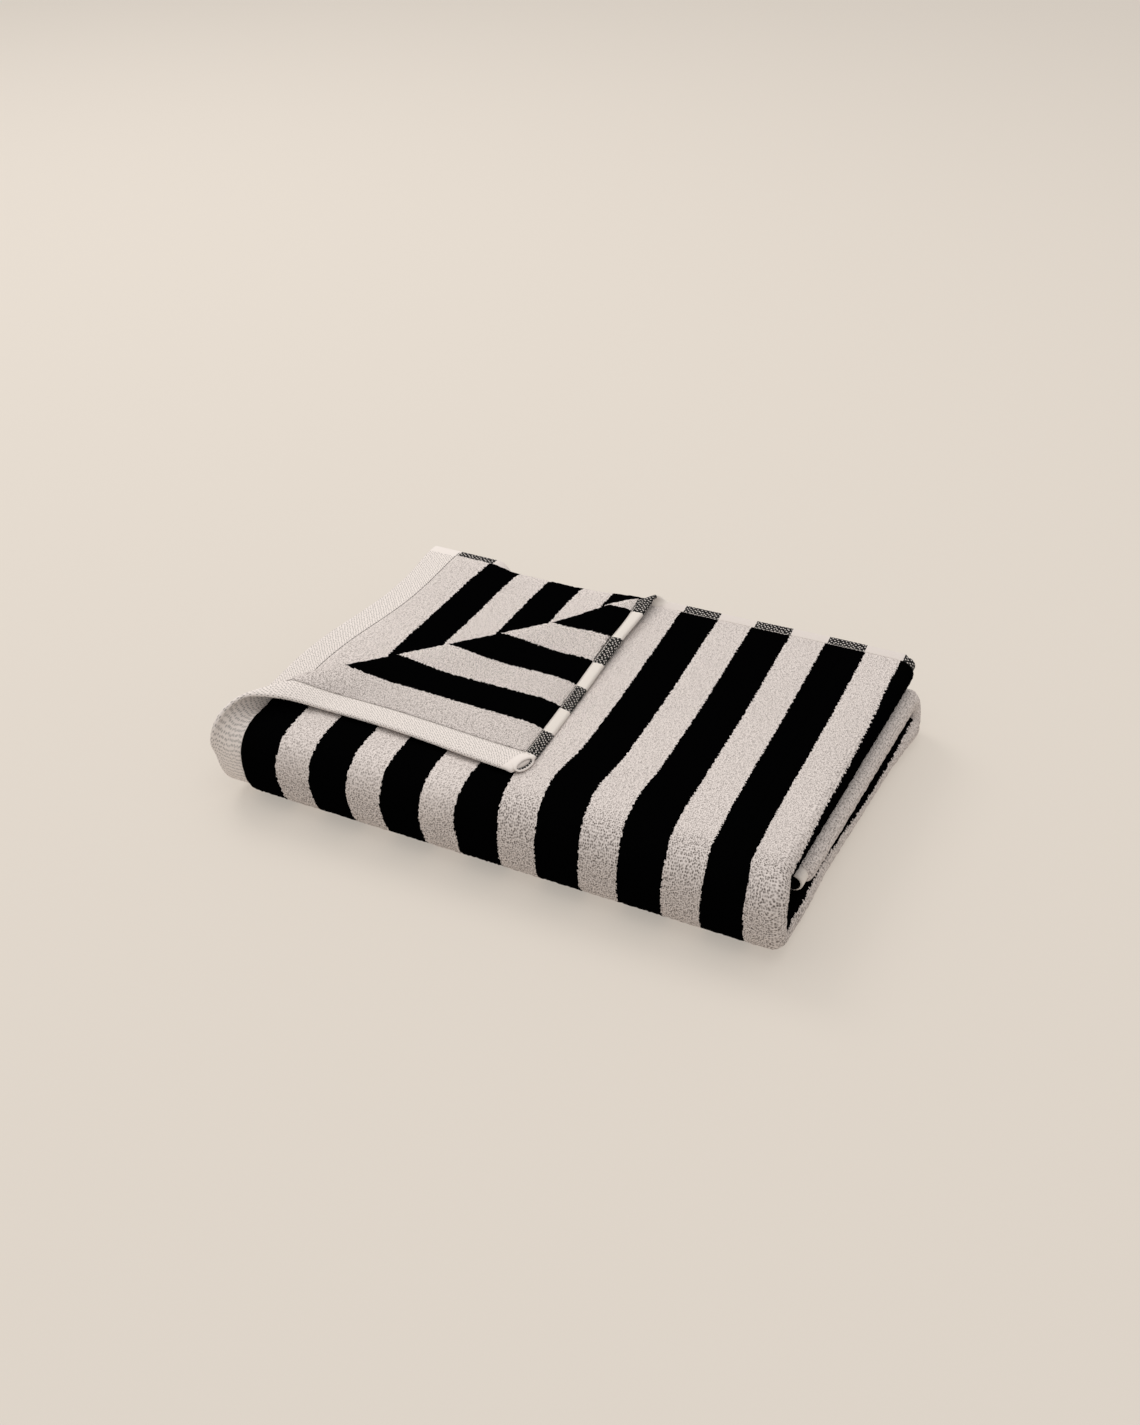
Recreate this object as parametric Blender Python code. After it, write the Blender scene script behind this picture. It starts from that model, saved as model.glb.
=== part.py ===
"""Folded hooded baby towel.

One square terry towel, doubled along its right side and then folded in three, with the hooded
corner of the top leaf turned back over it.  The cloth is a plain solid for every leaf and fold,
so that the top leaf and the hooded corner can open.

X runs from left to right, +Y to the back and +Z up.  The origin is on the ground, under the
middle of the folded towel.  Lengths are in metres.
"""

import math

import bmesh
import bpy

# Driving dimensions
WIDTH = 0.384  # folded towel, left selvedge to the fullest right-hand fold
DEPTH = 0.250  # front fold to back fold
LEAF = 0.0088  # one leaf of lofty terry, lying slack
GAP = 0.0004  # between two leaves
CLEAR = 0.0003  # between two pieces end to end
SIDE_BAND = 0.016  # plain woven side hem
END_BAND = 0.009  # flat woven end hem
INNER_SET_IN = 0.025  # the inner half of the cloth stops one stripe short of the outer half
BAND_THICK = 0.0036
TUCKED_REACH = 0.0060  # the hem inside the front fold
TUCKED_THICK = 0.0055
CORNER_PLY = 0.0030  # each of the two layers of the hooded corner
TOP_END_Y = 0.120  # where the end hem of the top leaf stops
CREASE_OFFSET = 0.1075  # the corner's crease is the line y = x + CREASE_OFFSET
TOP_FOLD_X = 0.182  # rightmost points of the three right-hand folds
MIDDLE_FOLD_X = 0.186
THREAD_WIDTH = 0.0008
THREAD_HEIGHT = 0.0005
SEAM_MARGIN = 0.0016  # from a hem's inner edge to its line of thread
SEAM_END = 0.0050  # the thread stops this short of the cloth's ends
EDGE_ROUNDING = 0.0022
ARC_STEPS = 14

# Worked out from the driving dimensions
PITCH = LEAF + GAP
LEFT = -WIDTH / 2
RIGHT = WIDTH / 2
TERRY_LEFT = LEFT + SIDE_BAND
INNER_LEFT = LEFT + INNER_SET_IN
INNER_TERRY_LEFT = INNER_LEFT + SIDE_BAND
STACK = 6 * PITCH - GAP
FRONT_R = STACK / 2
FRONT_Y = -DEPTH / 2 + FRONT_R
BACK_R = (4 * PITCH - GAP) / 2
BACK_Y = DEPTH / 2 - BACK_R
SIDE_R = LEAF + GAP / 2
TOP_TERRY_END = TOP_END_Y - END_BAND
AXIS_Z = STACK + GAP / 2
CORNER_FRONT = LEFT + CREASE_OFFSET
CORNER_RIGHT = TOP_END_Y - CREASE_OFFSET
CREASE_GAP = 0.0004 * math.sqrt(2)

# Colours of the cloth, as linear values
OFF_WHITE = (0.610, 0.545, 0.510)
BLACK = (0.004, 0.004, 0.004)
HEM_WHITE = (0.640, 0.580, 0.545)
TWEED = (0.150, 0.138, 0.130)
THREAD = (0.060, 0.056, 0.052)
ROUGH = {"terry": 0.95, "hem": 0.85, "thread": 0.70}


def clear_scene():
    for item in list(bpy.data.objects):
        bpy.data.objects.remove(item, do_unlink=True)


def cloth_material(name, colour, roughness):
    material = bpy.data.materials.new(name)
    material.use_nodes = True
    shader = material.node_tree.nodes["Principled BSDF"]
    shader.inputs["Base Color"].default_value = (*colour, 1.0)
    shader.inputs["Roughness"].default_value = roughness
    shader.inputs["Metallic"].default_value = 0.0
    return material


def pivot(name, location, parent=None):
    """An empty on a joint's axis."""
    empty = bpy.data.objects.new(name, None)
    empty.location = location
    empty.parent = parent
    bpy.context.scene.collection.objects.link(empty)
    return empty


def place(name, bm, holder, colour, rough, rounding=0.0, smooth=False):
    """Turn a bmesh in world positions into an object under its holder."""
    bmesh.ops.remove_doubles(bm, verts=bm.verts, dist=0.00001)
    bmesh.ops.recalc_face_normals(bm, faces=bm.faces)
    origin = world_place(holder)
    bmesh.ops.translate(bm, verts=bm.verts, vec=[-value for value in origin])
    mesh = bpy.data.meshes.new(name)
    bm.to_mesh(mesh)
    bm.free()
    item = bpy.data.objects.new(name, mesh)
    item.parent = holder
    bpy.context.scene.collection.objects.link(item)
    mesh.materials.append(cloth_material(name + "_cloth", colour, ROUGH[rough]))
    for face in mesh.polygons:
        face.use_smooth = smooth
    if rounding:
        bevel = item.modifiers.new("rounded_edges", "BEVEL")
        bevel.width = rounding
        bevel.segments = 2
        bevel.limit_method = "ANGLE"
        bevel.angle_limit = math.radians(40)
    return item


def world_place(holder):
    place_now = [0.0, 0.0, 0.0]
    while holder is not None:
        place_now = [a + b for a, b in zip(place_now, holder.location)]
        holder = holder.parent
    return place_now


def add_prism(bm, outline, low, high, axis):
    """Extrude a flat outline along an axis; the outline gives the other two coordinates."""

    def point(a, b, along):
        if axis == "X":
            return (along, a, b)
        if axis == "Y":
            return (a, along, b)
        return (a, b, along)

    near = [bm.verts.new(point(a, b, low)) for a, b in outline]
    far = [bm.verts.new(point(a, b, high)) for a, b in outline]
    bm.faces.new(near)
    bm.faces.new(reversed(far))
    for i in range(len(outline)):
        j = (i + 1) % len(outline)
        bm.faces.new((near[j], near[i], far[i], far[j]))


def rectangle(a0, a1, b0, b1):
    return [(a0, b0), (a1, b0), (a1, b1), (a0, b1)]


def arc(centre, radius, start, end, steps=ARC_STEPS):
    """Points of an arc, angles in degrees from the first coordinate towards the second."""
    points = []
    for i in range(steps + 1):
        angle = math.radians(start + (end - start) * i / steps)
        points.append((centre[0] + radius * math.cos(angle), centre[1] + radius * math.sin(angle)))
    return points


def slab(name, holder, x, y, z, colour, rough="terry", rounding=EDGE_ROUNDING):
    bm = bmesh.new()
    add_prism(bm, rectangle(*x, *y), *z, "Z")
    return place(name, bm, holder, colour, rough, rounding)


def half_ring(name, holder, x, centre, outer, inner, start, end, colour):
    """A fold that runs from left to right: half a ring in the YZ plane."""
    bm = bmesh.new()
    outline = arc(centre, outer, start, end) + arc(centre, inner, end, start)
    add_prism(bm, outline, *x, "X")
    return place(name, bm, holder, colour, "terry", smooth=False)


def side_fold(name, holder, right, y, centre_z, colour):
    """A right-hand fold of two leaves: half a cylinder along Y."""
    bm = bmesh.new()
    outline = arc((right - SIDE_R, centre_z), SIDE_R, -90, 90)
    add_prism(bm, outline, *y, "Y")
    return place(name, bm, holder, colour, "terry")


def turned_side_fold(name, holder, right, centre, middle_radius, start, end, colour):
    """The right-hand fold where it goes round the front or the back fold."""
    bm = bmesh.new()
    rings = []
    for i in range(ARC_STEPS + 1):
        turn = math.radians(start + (end - start) * i / ARC_STEPS)
        ring = []
        for across, out in arc((0.0, 0.0), SIDE_R, -90, 90, 8):
            radius = middle_radius + out
            ring.append(
                bm.verts.new(
                    (
                        right - SIDE_R + across,
                        centre[0] + radius * math.cos(turn),
                        centre[1] + radius * math.sin(turn),
                    )
                )
            )
        rings.append(ring)
    for ring, following in zip(rings, rings[1:]):
        for i in range(len(ring)):
            j = (i + 1) % len(ring)
            bm.faces.new((ring[i], ring[j], following[j], following[i]))
    bm.faces.new(rings[0])
    bm.faces.new(reversed(rings[-1]))
    return place(name, bm, holder, colour, "terry")


def ribbon_outline(path, thickness):
    """Both sides of a ribbon whose middle line is the path."""
    left, right = [], []
    for i, (a, b) in enumerate(path):
        before = path[max(i - 1, 0)]
        after = path[min(i + 1, len(path) - 1)]
        along = (after[0] - before[0], after[1] - before[1])
        size = math.hypot(*along)
        normal = (-along[1] / size * thickness / 2, along[0] / size * thickness / 2)
        left.append((a + normal[0], b + normal[1]))
        right.append((a - normal[0], b - normal[1]))
    return left + right[::-1]


def seam_thread(name, holder, path, base):
    """One line of thread lying on a hem, whose upper face is at the height base."""
    bm = bmesh.new()
    add_prism(bm, ribbon_outline(path, THREAD_WIDTH), base + CLEAR, base + CLEAR + THREAD_HEIGHT, "Z")
    return place(name, bm, holder, THREAD, "thread")


def leaf_z(number):
    """Bottom and top of a leaf, counted from 0 at the bottom of the stack."""
    return (number * PITCH, number * PITCH + LEAF)


def band_z(number):
    middle = number * PITCH + LEAF / 2
    return (middle - BAND_THICK / 2, middle + BAND_THICK / 2)


def build_folded_stack():
    """The bottom and middle leaves, the front and back folds, and their hems."""
    holder = pivot("folded_stack", (0.0, 0.0, 0.0))
    y = (FRONT_Y + CLEAR, BACK_Y - CLEAR)
    lower_right = RIGHT - SIDE_R - CLEAR
    middle_right = MIDDLE_FOLD_X - SIDE_R - CLEAR
    slab("bottom_leaf_outer", holder, (TERRY_LEFT, lower_right), y, leaf_z(0), OFF_WHITE)
    slab("bottom_leaf_inner", holder, (INNER_TERRY_LEFT, lower_right), y, leaf_z(1), OFF_WHITE)
    slab("middle_leaf_lower", holder, (INNER_TERRY_LEFT, middle_right), y, leaf_z(2), OFF_WHITE)
    slab("middle_leaf_upper", holder, (TERRY_LEFT, middle_right), y, leaf_z(3), OFF_WHITE)
    side_fold("bottom_side_fold", holder, RIGHT, y, PITCH - GAP / 2, BLACK)
    side_fold("middle_side_fold", holder, MIDDLE_FOLD_X, y, 3 * PITCH - GAP / 2, BLACK)

    front = (FRONT_Y, FRONT_R)
    back = (BACK_Y, BACK_R)
    front_right = MIDDLE_FOLD_X - SIDE_R
    outer_x = (TERRY_LEFT, front_right - CLEAR)
    inner_x = (INNER_TERRY_LEFT, front_right - CLEAR)
    ring = FRONT_R - LEAF
    inside = ring - GAP
    half_ring("front_fold_outer", holder, outer_x, front, FRONT_R, ring, 90, 270, OFF_WHITE)
    half_ring("front_fold_inner", holder, inner_x, front, inside, inside - LEAF, 90, 270, OFF_WHITE)
    turned_side_fold(
        "front_side_fold", holder, MIDDLE_FOLD_X, front, FRONT_R - SIDE_R, 90, 270, BLACK
    )
    ring = BACK_R - LEAF
    inside = ring - GAP
    half_ring("back_fold_outer", holder, outer_x, back, BACK_R, ring, -90, 90, OFF_WHITE)
    half_ring("back_fold_inner", holder, inner_x, back, inside, GAP / 2, -90, 90, OFF_WHITE)
    turned_side_fold(
        "back_side_fold", holder, MIDDLE_FOLD_X, back, BACK_R - SIDE_R, -90, 90, BLACK
    )
    build_lower_side_hems(holder, front, back)
    build_tucked_end_hem(holder)
    return holder


def build_lower_side_hems(holder, front, back):
    """The two side hems, each one long ribbon round the front and back folds."""
    ribbons = (
        ("outer_side_hem", LEFT, TERRY_LEFT, FRONT_R - LEAF / 2, BACK_R - LEAF / 2),
        ("inner_side_hem", INNER_LEFT, INNER_TERRY_LEFT, FRONT_R - PITCH - LEAF / 2, LEAF / 2 + GAP / 2),
    )
    for name, left, right, front_radius, back_radius in ribbons:
        path = arc(front, front_radius, 90, 270)
        path += arc(back, back_radius, -90, 90)
        path.append((FRONT_Y + END_BAND, back[1] + back_radius))
        bm = bmesh.new()
        add_prism(bm, ribbon_outline(path, BAND_THICK), left, right - CLEAR, "X")
        place(name, bm, holder, HEM_WHITE, "hem")


def build_tucked_end_hem(holder):
    """The end hem of the middle leaf, tucked inside the front fold: one strip on each half."""
    y = (FRONT_Y - TUCKED_REACH, FRONT_Y)
    right = MIDDLE_FOLD_X - SIDE_R - CLEAR
    low = (FRONT_R - CLEAR - TUCKED_THICK, FRONT_R - CLEAR)
    high = (FRONT_R + CLEAR, FRONT_R + CLEAR + TUCKED_THICK)
    slab("tucked_end_hem_lower", holder, (INNER_TERRY_LEFT, right), y, low, TWEED, "hem", 0.0012)
    slab("tucked_end_hem_upper", holder, (TERRY_LEFT, right), y, high, TWEED, "hem", 0.0012)


def build_top_leaf(stack):
    """The two top leaves, which open together about the front fold."""
    holder = pivot("top_leaf", (0.0, FRONT_Y, AXIS_Z), stack)
    front = FRONT_Y + CLEAR
    right = TOP_FOLD_X - SIDE_R - CLEAR
    bm = bmesh.new()
    crease_front = TERRY_LEFT + CREASE_OFFSET - CREASE_GAP
    crease_back = TOP_TERRY_END - CREASE_OFFSET + CREASE_GAP
    outline = [
        (TERRY_LEFT, front),
        (right, front),
        (right, TOP_TERRY_END),
        (crease_back, TOP_TERRY_END),
        (TERRY_LEFT, crease_front),
    ]
    add_prism(bm, outline, *leaf_z(5), "Z")
    place("top_leaf_outer", bm, holder, OFF_WHITE, "terry", EDGE_ROUNDING)
    y = (front, TOP_TERRY_END)
    slab("top_leaf_inner", holder, (INNER_TERRY_LEFT, right), y, leaf_z(4), OFF_WHITE)
    side_fold("top_side_fold", holder, TOP_FOLD_X, y, 5 * PITCH - GAP / 2, BLACK)

    hem_y = (TOP_TERRY_END + CLEAR, TOP_END_Y)
    bm = bmesh.new()
    outline = [
        (TOP_TERRY_END - CREASE_OFFSET + CREASE_GAP + CLEAR, hem_y[0]),
        (right, hem_y[0]),
        (right, hem_y[1]),
        (CORNER_RIGHT + CREASE_GAP, hem_y[1]),
    ]
    add_prism(bm, outline, *band_z(5), "Z")
    place("end_hem_outer", bm, holder, TWEED, "hem", 0.0008)
    slab("end_hem_inner", holder, (INNER_LEFT, right), hem_y, band_z(4), TWEED, "hem", 0.0008)
    band_x = (INNER_LEFT, INNER_TERRY_LEFT - CLEAR)
    slab("top_side_hem_inner", holder, band_x, y, band_z(4), HEM_WHITE, "hem", 0.0008)
    bm = bmesh.new()
    outline = [
        (LEFT, front),
        (TERRY_LEFT - CLEAR, front),
        (TERRY_LEFT - CLEAR, crease_front - CLEAR),
        (LEFT, CORNER_FRONT - CREASE_GAP),
    ]
    add_prism(bm, outline, *band_z(5), "Z")
    place("top_side_hem_outer", bm, holder, HEM_WHITE, "hem", 0.0008)

    seam = INNER_TERRY_LEFT - SEAM_MARGIN
    path = [(seam, y[0] + SEAM_END), (seam, y[1] - SEAM_END)]
    seam_thread("side_hem_stitching", holder, path, band_z(4)[1])
    seam = hem_y[0] + SEAM_MARGIN
    path = [(CORNER_RIGHT + SEAM_END, seam), (right - SEAM_END, seam)]
    seam_thread("end_hem_stitching", holder, path, band_z(5)[1])
    return holder


def build_hood_corner(top_leaf):
    """The turned-back corner: its backing, the hood panel on it, the hems and their stitching."""
    axis_place = ((LEFT + CORNER_RIGHT) / 2, (CORNER_FRONT + TOP_END_Y) / 2, AXIS_Z)
    parent_place = world_place(top_leaf)
    holder = pivot(
        "hood_corner", [a - b for a, b in zip(axis_place, parent_place)], top_leaf
    )
    terry_front = CORNER_FRONT + SIDE_BAND + CLEAR
    terry_right = CORNER_RIGHT - END_BAND - CLEAR
    bottom = AXIS_Z + GAP / 2
    lift = CORNER_PLY + CLEAR

    def triangle(name, level, colour):
        outline = [
            (terry_front - CREASE_OFFSET + CREASE_GAP, terry_front),
            (terry_right, terry_front),
            (terry_right, terry_right + CREASE_OFFSET - CREASE_GAP),
        ]
        bm = bmesh.new()
        add_prism(bm, outline, bottom + level, bottom + level + CORNER_PLY, "Z")
        place(name, bm, holder, colour, "terry", 0.0010)

    triangle("corner_backing", 0.0, OFF_WHITE)
    triangle("hood_panel", lift, OFF_WHITE)
    hem_low = bottom + 0.0008
    hem_high = bottom + lift + CORNER_PLY - 0.0010
    bm = bmesh.new()
    outline = [
        (LEFT + CREASE_GAP, CORNER_FRONT),
        (CORNER_RIGHT, CORNER_FRONT),
        (CORNER_RIGHT, CORNER_FRONT + SIDE_BAND),
        (TERRY_LEFT + CREASE_GAP, CORNER_FRONT + SIDE_BAND),
    ]
    add_prism(bm, outline, hem_low, hem_high, "Z")
    place("corner_side_hem", bm, holder, HEM_WHITE, "hem", 0.0008)
    bm = bmesh.new()
    inner_edge = CORNER_RIGHT - END_BAND
    outline = [
        (inner_edge, terry_front),
        (CORNER_RIGHT, terry_front),
        (CORNER_RIGHT, TOP_END_Y - CREASE_GAP),
        (inner_edge, inner_edge + CREASE_OFFSET - CREASE_GAP),
    ]
    add_prism(bm, outline, hem_low, hem_high, "Z")
    place("corner_end_hem", bm, holder, TWEED, "hem", 0.0008)
    seam_y = CORNER_FRONT + SIDE_BAND - SEAM_MARGIN
    path = [(TERRY_LEFT + SEAM_END, seam_y), (inner_edge - CLEAR, seam_y)]
    seam_thread("corner_side_stitching", holder, path, hem_high)
    seam_x = inner_edge + SEAM_MARGIN
    path = [(seam_x, terry_front + CLEAR), (seam_x, TOP_TERRY_END - SEAM_END)]
    seam_thread("corner_end_stitching", holder, path, hem_high)
    return holder


def main():
    clear_scene()
    stack = build_folded_stack()
    top_leaf = build_top_leaf(stack)
    build_hood_corner(top_leaf)


main()
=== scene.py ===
"""Looks of the folded hooded baby towel.

The towel is one striped terry cloth.  A point of the cloth is known by its place on the flat towel:
u runs across the stripes from the outer selvedge and v along them from the top leaf's back edge.
The cloth is doubled about a line of constant u, and the doubled cloth is folded in three along v.
Lengths are in metres, in the frame of the CAD part.
"""

import math

import bpy
import numpy as np
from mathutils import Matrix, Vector


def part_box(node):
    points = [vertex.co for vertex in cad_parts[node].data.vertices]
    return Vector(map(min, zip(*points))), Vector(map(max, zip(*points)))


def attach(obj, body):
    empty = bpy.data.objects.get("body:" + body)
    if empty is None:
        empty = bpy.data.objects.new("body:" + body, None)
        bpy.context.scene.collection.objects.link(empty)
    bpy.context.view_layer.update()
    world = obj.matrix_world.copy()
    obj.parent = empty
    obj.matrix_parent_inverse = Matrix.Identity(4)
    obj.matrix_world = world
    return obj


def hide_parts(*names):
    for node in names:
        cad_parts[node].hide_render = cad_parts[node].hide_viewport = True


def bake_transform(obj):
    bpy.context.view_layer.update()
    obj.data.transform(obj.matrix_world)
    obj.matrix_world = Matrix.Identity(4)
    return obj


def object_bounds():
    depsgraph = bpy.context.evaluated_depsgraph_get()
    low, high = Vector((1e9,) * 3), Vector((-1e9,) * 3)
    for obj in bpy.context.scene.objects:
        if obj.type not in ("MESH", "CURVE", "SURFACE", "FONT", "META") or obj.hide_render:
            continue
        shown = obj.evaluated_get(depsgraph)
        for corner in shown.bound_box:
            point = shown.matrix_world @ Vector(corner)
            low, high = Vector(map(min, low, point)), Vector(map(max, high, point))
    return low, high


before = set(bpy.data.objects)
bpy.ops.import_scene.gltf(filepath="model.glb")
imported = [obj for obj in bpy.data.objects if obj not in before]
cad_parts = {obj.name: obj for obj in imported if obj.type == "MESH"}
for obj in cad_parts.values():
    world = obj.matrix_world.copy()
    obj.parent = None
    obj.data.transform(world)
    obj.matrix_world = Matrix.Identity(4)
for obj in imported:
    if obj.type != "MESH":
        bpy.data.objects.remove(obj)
cad_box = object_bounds()

# ---------------------------------------------------------------- the towel, laid flat
GRID = 0.00155  # spacing of the fine meshes; near hems, splits and crease lie on its lines
COARSE = 0.0048  # mesh spacing where the cloth is hidden
STRIPE = 0.0248
STRIPE_COUNT = 27
SIDE_HEM = 12 * GRID
END_HEM = 5 * GRID
WIDTH = STRIPE_COUNT * STRIPE + 2 * SIDE_HEM
LENGTH = 0.702

# ---------------------------------------------------------------- the folds, from the frame
LEFT = cad_box[0].x
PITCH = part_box("bottom_leaf_inner")[0].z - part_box("bottom_leaf_outer")[0].z
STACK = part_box("front_fold_outer")[1].z
FRONT_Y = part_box("front_fold_outer")[1].y
BACK_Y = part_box("back_fold_outer")[0].y
HEM_REACH = 0.0045  # the cloth's back edge reaches this far past the hem's slab
TOP_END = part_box("end_hem_outer")[1].y + HEM_REACH
FRONT_MID = STACK / 2 - PITCH
BACK_MID = PITCH
LEAF_OFFSET = 0.0049  # from the middle of the doubled cloth to each of its two sheets

# ---------------------------------------------------------------- half thicknesses of the cloth
HALF_TERRY = 0.0037
HALF_HEM = 0.0013
HALF_TERRY_EDGE = HALF_HEM + 0.0004
HALF_PLY = 0.0012  # the turned-back corner's backing cloth
HALF_PANEL = 0.0016
THIN_EDGE = 0.0003
ROUNDED_EDGE = 0.0048  # terry rounds down to its hems over this width
TOWEL_PILE = 0.00028  # unevenness of the loops' tips
BACKING_PILE = 0.0002

# ---------------------------------------------------------------- places along the cloth
TOP_V = TOP_END - FRONT_Y
FRONT_V = TOP_V + math.pi * FRONT_MID
BOTTOM_V = FRONT_V + BACK_Y - FRONT_Y
BACK_V = BOTTOM_V + math.pi * BACK_MID
SPLIT_V = 193 * GRID  # the top leaf's cloth goes on under the front fold as far as this
SPLIT_U = 212 * GRID  # the outer sheet ends here, under a black stripe

# The right-hand fold wanders along the towel: its place in x, and the u that lies in its middle
FOLD_V = (0.0, TOP_V, FRONT_V, FRONT_V + 0.165, BOTTOM_V, BACK_V, LENGTH)
FOLD_X = (0.1755, 0.1600, 0.1625, 0.1785, 0.1850, 0.1800, 0.1655)
FOLD_U = (0.3745, 0.3655, 0.3620, 0.3622, 0.3594, 0.3545, 0.3535)
PULL_U = (0.325, 0.325, 0.325, 0.020, 0.020, 0.020, 0.020)  # where the cloth begins to give to it
FOLD_ARC = math.pi / 2 * LEAF_OFFSET

# The corner is turned back about the line u + v = CREASE
CREASE_CELLS = 133
CREASE = CREASE_CELLS * GRID
ROLL = 0.0046  # radius of the roll along the crease
TIP_ROLL = 0.0055  # added to it at the side hem, and the length over which that fades
TIP_ROLL_LENGTH = 0.020
SETTLE = 0.030  # past the roll, the cloth settles on to the flap's plane over this length
FLAP_LIFT = 0.0057  # middle of the flap over the top leaf's outer sheet
SQRT2 = math.sqrt(2)
FRONT_SQUARE = 2.8  # 2 for a half circle, more for a squarer front fold
STEP = 1e-5  # for the slopes of a surface
STITCH = 0.0026
HIDDEN_U = (0.400, 0.500)  # of the inner sheet, under the outer one


def smooth(t):
    t = np.clip(t, 0.0, 1.0)
    return t * t * (3 - 2 * t)


def rise(value, start, span):
    """0 up to the start, then smoothly up to 1 over the span."""
    return smooth((value - start) / span)


def fall(value, end, span):
    """1 until a span before the end, then smoothly down to 0."""
    return smooth((end - value) / span)


def share_past(value, start, span):
    """0 up to the start, then evenly up to 1 over the span."""
    return np.clip((value - start) / span, 0, 1)


def hump(value, middle, width):
    """1 at the middle, fading away on both sides."""
    return np.exp(-(((value - middle) / width) ** 2))


def mix(a, b, t):
    return a + (b - a) * t


def unit(vectors):
    return vectors / np.maximum(np.linalg.norm(vectors, axis=-1, keepdims=True), 1e-12)


def front_profile():
    """The front fold in section, squarer than a half circle: shares of its length, y, z, normal."""
    samples = 1201
    angle = np.linspace(0.0, math.pi, samples)
    sine, cosine = np.abs(np.sin(angle)), np.cos(angle)
    reach = (sine**FRONT_SQUARE + np.abs(cosine) ** FRONT_SQUARE) ** (-1 / FRONT_SQUARE)
    y = -FRONT_MID * reach * sine
    z = FRONT_MID * reach * cosine
    steps = np.hypot(np.diff(y), np.diff(z))
    share = np.concatenate([[0.0], np.cumsum(steps)]) / steps.sum()
    return share, y, z, np.gradient(z), -np.gradient(y)


PROFILE = front_profile()


def stack_path(v):
    """y, z and the outward normal (y, z) of the doubled cloth's middle line."""
    front = np.clip((v - TOP_V) / (FRONT_V - TOP_V), 0.0, 1.0)
    share = PROFILE[0]
    front_y, front_z, front_ny, front_nz = (np.interp(front, share, row) for row in PROFILE[1:])
    long = np.hypot(front_ny, front_nz)
    back = (v - BOTTOM_V) / BACK_MID
    bottom_z = STACK / 2 - FRONT_MID
    middle_z = bottom_z + 2 * BACK_MID
    parts = [v < TOP_V, v < FRONT_V, v < BOTTOM_V, v < BACK_V]
    y = np.select(
        parts,
        [
            TOP_END - v,
            FRONT_Y + front_y,
            FRONT_Y + v - FRONT_V,
            BACK_Y + BACK_MID * np.sin(back),
        ],
        BACK_Y - (v - BACK_V),
    )
    z = np.select(
        parts,
        [
            STACK / 2 + FRONT_MID + 0 * v,
            STACK / 2 + front_z,
            bottom_z + 0 * v,
            bottom_z + BACK_MID * (1 - np.cos(back)),
        ],
        middle_z,
    )
    ny = np.select(parts, [0 * v, front_ny / long, 0 * v, np.sin(back)], 0.0)
    nz = np.select(parts, [1 + 0 * v, front_nz / long, -1 + 0 * v, -np.cos(back)], 1.0)
    return y, z, ny, nz


def crease_slide(u):
    """How far the turned-back corner has drawn the top leaf forward, most at the side hem."""
    crease_draw, wide_draw, hem_curl, curl_width = 0.0175, 0.004, 0.0235, 0.018
    drawn = crease_draw * fall(u, 0.200, 0.050) + wide_draw * fall(u, 0.350, 0.150)
    return drawn + hem_curl * hump(u, 0.0, curl_width)


def outer_edge_drawn(u, v):
    """In x: the side band draws in round the front fold, and the cloth's edge at the back fold."""
    band_draw, band_width, back_draw, back_width = 0.0065, 1.4 * SIDE_HEM, 0.0110, 0.050
    rounding = rise(v, TOP_V - 0.022, 0.030) * fall(v, FRONT_V + 0.060, 0.060)
    at_front = band_draw * rounding * np.clip(1 - u / band_width, 0, 1) ** 1.5
    at_back = rise(v, BOTTOM_V - 0.050, 0.050) * np.clip(1 - u / back_width, 0, 1)
    return at_front + back_draw * at_back


def stripes_lean(u, v):
    """In x: the stripes lean to the left on to the front fold and stand upright below it."""
    lean, lean_length, upright = 0.0040, 0.022, 0.0024
    middle = rise(u, 0.170, 0.030) * fall(u, 0.325, 0.100)
    below = rise(v, TOP_V + 0.002, 0.015) * fall(v, FRONT_V + 0.060, 0.050)
    return upright * below - lean * middle * hump(v, TOP_V - 0.018, lean_length)


def under_sheet_lie(u, v):
    """In x, y, z: the top leaf's under sheet is shifted, domed and rolled down at its back edge."""
    shift, shift_slope, flare = -0.0185, 0.055, -0.012
    corner_in, hem_in = -0.0035, -0.0030
    back_reach, dome, bump = 0.0075, 0.0048, 0.0050
    roll_length, roll_radius, unrolled = 0.020, 0.014, 0.97

    under = rise(u, 0.420, 0.120)
    shown = under * fall(v, 0.300, 0.100)
    last_stripe = share_past(u, WIDTH - SIDE_HEM - STRIPE, STRIPE)
    in_hem = share_past(u, WIDTH - SIDE_HEM, SIDE_HEM)
    shifted = shift + shift_slope * np.clip(v - 0.04, 0.0, 0.15)
    flared = flare * rise(v, 0.060, 0.100) * last_stripe
    at_corner = fall(v, 0.050, 0.050) * (corner_in * last_stripe + hem_in * in_hem)
    x = shown * (shifted + flared + at_corner)
    y = shown * back_reach * fall(v, 0.150, 0.120)
    z = shown * dome * fall(v, 0.200, 0.090)
    z = z + bump * under * hump(u, 0.545, 0.030) * fall(v, 0.060, 0.060)

    droop = under * (1 - unrolled * rise(u, 0.642, 0.020))
    turn_down = np.maximum(roll_length - v, 0.0)
    angle = droop * turn_down / roll_radius
    least_angle = 1e-6
    turned = angle > least_angle
    bend = np.where(turned, 1 / np.maximum(angle, least_angle), 1.0)
    y = y + np.where(turned, turn_down * (bend * np.sin(angle) - 1), 0.0)
    z = z - np.where(turned, turn_down * bend * (1 - np.cos(angle)), 0.0)
    return x, y, z


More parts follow.
